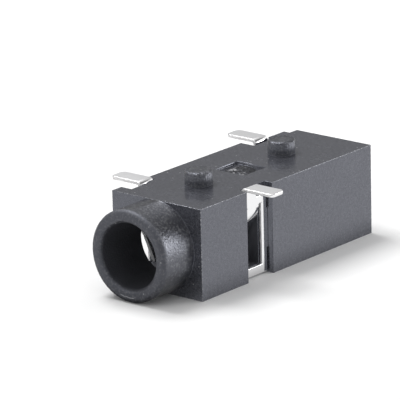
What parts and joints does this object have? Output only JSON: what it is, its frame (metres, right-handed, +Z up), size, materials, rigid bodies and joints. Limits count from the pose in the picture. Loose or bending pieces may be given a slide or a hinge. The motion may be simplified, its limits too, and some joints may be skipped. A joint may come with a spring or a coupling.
{
  "type": "pcb audio jack",
  "caption": "Surface-mount 3.5 mm audio jack: moulded housing with a round nose, plug bore and locating pegs, holding stamped sleeve, tip and ring terminals with solder feet.",
  "frame": {"origin": "on the plug axis, at the housing's front shoulder", "axes": "+Y along the plug's way in, +Z up out of the board face that carries the pegs, +X towards the ring terminal"},
  "size_m": [0.0092, 0.0169, 0.0058],
  "materials": {
    "housing_plastic": "black moulded plastic, satin, with a finer smooth top and sides and a grainy nose",
    "terminal_plating": "bright tin-plated copper alloy sheet"
  },
  "bodies": {
    "root": {"housing": "housing_plastic", "sleeve_terminal": "terminal_plating", "tip_terminal": "terminal_plating", "ring_terminal": "terminal_plating"}
  },
  "joints": []
}
